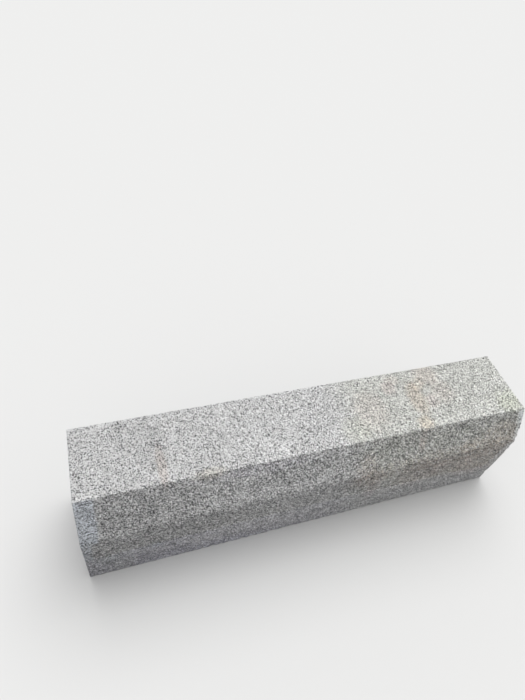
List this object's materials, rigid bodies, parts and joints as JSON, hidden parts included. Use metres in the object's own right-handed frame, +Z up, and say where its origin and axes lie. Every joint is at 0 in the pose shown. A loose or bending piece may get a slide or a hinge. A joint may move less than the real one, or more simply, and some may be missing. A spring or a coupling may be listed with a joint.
{
  "type": "granite kerb stone",
  "caption": "Straight granite kerb stone with a sloping hammered upper front, flat sawn back and square ends.",
  "frame": {"origin": "on the bed, under the middle of the stone", "axes": "+X along the kerb, -Y is the street side with the sloping upper front, +Z up from the bed"},
  "size_m": [1, 0.2, 0.275],
  "materials": {
    "granite": "light grey granite, hammered top and upper front, sawn below and behind"
  },
  "bodies": {
    "root": {"kerb_stone": "granite"}
  },
  "joints": []
}
